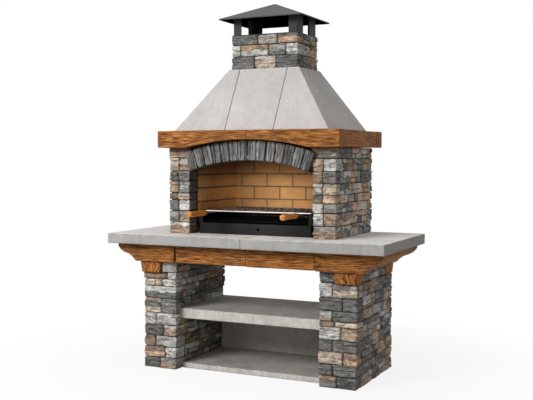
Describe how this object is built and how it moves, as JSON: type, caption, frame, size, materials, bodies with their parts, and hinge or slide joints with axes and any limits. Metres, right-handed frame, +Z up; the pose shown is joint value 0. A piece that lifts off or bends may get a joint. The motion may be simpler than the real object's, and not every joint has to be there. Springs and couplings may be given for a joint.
{
  "type": "masonry barbecue",
  "caption": "Free-standing masonry barbecue: stone-clad legs, concrete worktop and shelf, firebrick hearth with sliding grate and ash drawer, timber mantel, hood and chimney.",
  "frame": {"origin": "on the ground under the floor slab, midway between the legs and midway between the worktop's front edge and the mantel's back", "axes": "+X to the right seen from the front, +Y to the back, +Z up; the hearth opens towards -Y"},
  "size_m": [1.88, 0.959, 2.373],
  "materials": {
    "concrete": "cast, lightly mottled",
    "stone": "split face in mixed greys, tans and browns",
    "slate": "split face",
    "firebrick": "matt fired clay",
    "mortar": "recessed joint",
    "timber": "stained, open grain",
    "grip_wood": "turned and oiled",
    "black_steel": "heat-proof black paint",
    "cap_steel": "dark grey paint",
    "bright_steel": "bright drawn bar",
    "coal_iron": "scaled"
  },
  "bodies": {
    "masonry": {"floor_slab": "concrete", "shelf_slab": "concrete", "rear_panel": "concrete", "left_leg_core": "concrete", "left_leg_stones": "stone", "left_corbel_blocks": "timber", "left_corbel_beam": "timber", "right_leg_core": "concrete", "right_leg_stones": "stone", "right_corbel_blocks": "timber", "right_corbel_beam": "timber", "fascia_left": "timber", "fascia_right": "timber", "worktop_left": "concrete", "worktop_right": "concrete", "hearth_slab": "firebrick", "rear_wall_panel": "concrete", "left_cheek_core": "concrete", "left_cheek_stones": "stone", "left_firebricks": "firebrick", "left_brick_mortar": "mortar", "right_cheek_core": "concrete", "right_cheek_stones": "stone", "right_firebricks": "firebrick", "right_brick_mortar": "mortar", "back_firebricks": "firebrick", "back_brick_mortar": "mortar", "arch_lintel": "concrete", "arch_voussoirs": "slate", "mantel_front_left": "timber", "mantel_front_right": "timber", "mantel_left": "timber", "mantel_right": "timber", "mantel_back": "timber", "hood_left": "concrete", "hood_right": "concrete", "hood_front_panel": "concrete", "hood_back_panel": "concrete", "chimney_core": "concrete", "chimney_stones": "stone", "cap_base": "cap_steel", "cap_screws": "bright_steel", "cap_roof": "cap_steel", "cap_posts": "cap_steel", "left_firebox_plate": "black_steel", "right_firebox_plate": "black_steel", "grate_rails": "black_steel", "charcoal_ledges": "black_steel", "firebox_uprights": "black_steel", "firebox_tie": "black_steel"},
    "ash_drawer": {"ash_drawer_front": "black_steel", "ash_tray": "black_steel"},
    "charcoal_grate": {"charcoal_bars": "coal_iron", "charcoal_ties": "coal_iron"},
    "cooking_grate": {"grate_frame": "bright_steel", "grate_rods": "bright_steel", "left_handle_shank": "bright_steel", "left_grip": "grip_wood", "right_handle_shank": "bright_steel", "right_grip": "grip_wood"}
  },
  "joints": [
    {"name": "grate_slide", "type": "slide", "parent": "masonry", "child": "cooking_grate", "axis": [0, -1, 0], "range_m": [0, 0.25]},
    {"name": "drawer_slide", "type": "slide", "parent": "masonry", "child": "ash_drawer", "axis": [0, -1, 0], "range_m": [0, 0.35]},
    {"name": "charcoal_lift", "type": "slide", "parent": "masonry", "child": "charcoal_grate", "axis": [0, 0, 1], "range_m": [0, 0.04]}
  ]
}
